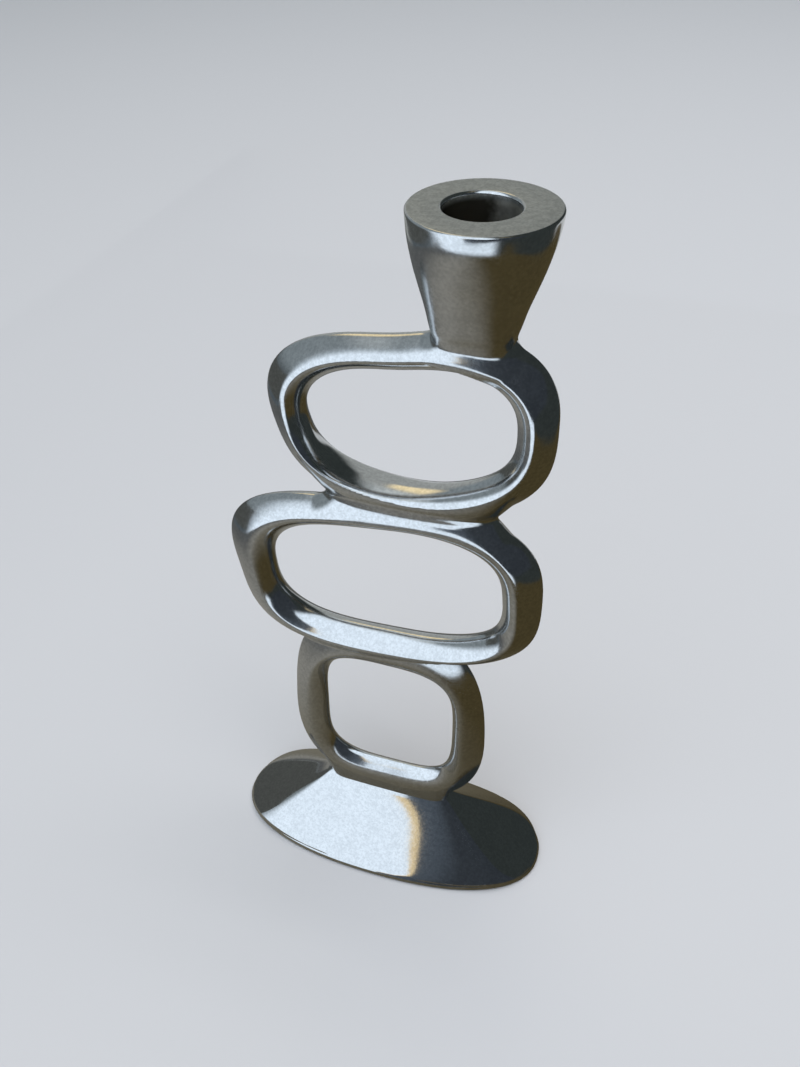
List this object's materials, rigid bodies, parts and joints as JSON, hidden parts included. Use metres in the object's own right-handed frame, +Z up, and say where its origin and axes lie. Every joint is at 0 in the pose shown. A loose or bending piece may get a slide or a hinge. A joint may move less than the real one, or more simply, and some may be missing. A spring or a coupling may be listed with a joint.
{
  "type": "candle holder",
  "caption": "Tall sculptural candle holder: rounded oblong metal loops stacked on a flared oval foot, with an offset tapered cup bored for a dinner candle.",
  "frame": {"origin": "middle of the foot at table height, on the underside of the felt pad", "axes": "+Z up to the cup, +X along the foot towards the side the cup is set off to, -Y out of the front face of the loops"},
  "size_m": [0.142, 0.0616, 0.3],
  "materials": {
    "satin_metal": "satin polished casting, faintly speckled, with a matt cup face",
    "felt": "dense dark felt",
    "dowel_steel": "ground"
  },
  "bodies": {
    "root": {"foot": "satin_metal", "felt_pad": "felt", "lower_loop": "satin_metal", "middle_loop": "satin_metal", "upper_loop": "satin_metal", "candle_cup": "satin_metal", "foot_dowels": "dowel_steel", "lower_dowels": "dowel_steel", "upper_dowels": "dowel_steel", "cup_dowels": "dowel_steel"}
  },
  "joints": []
}
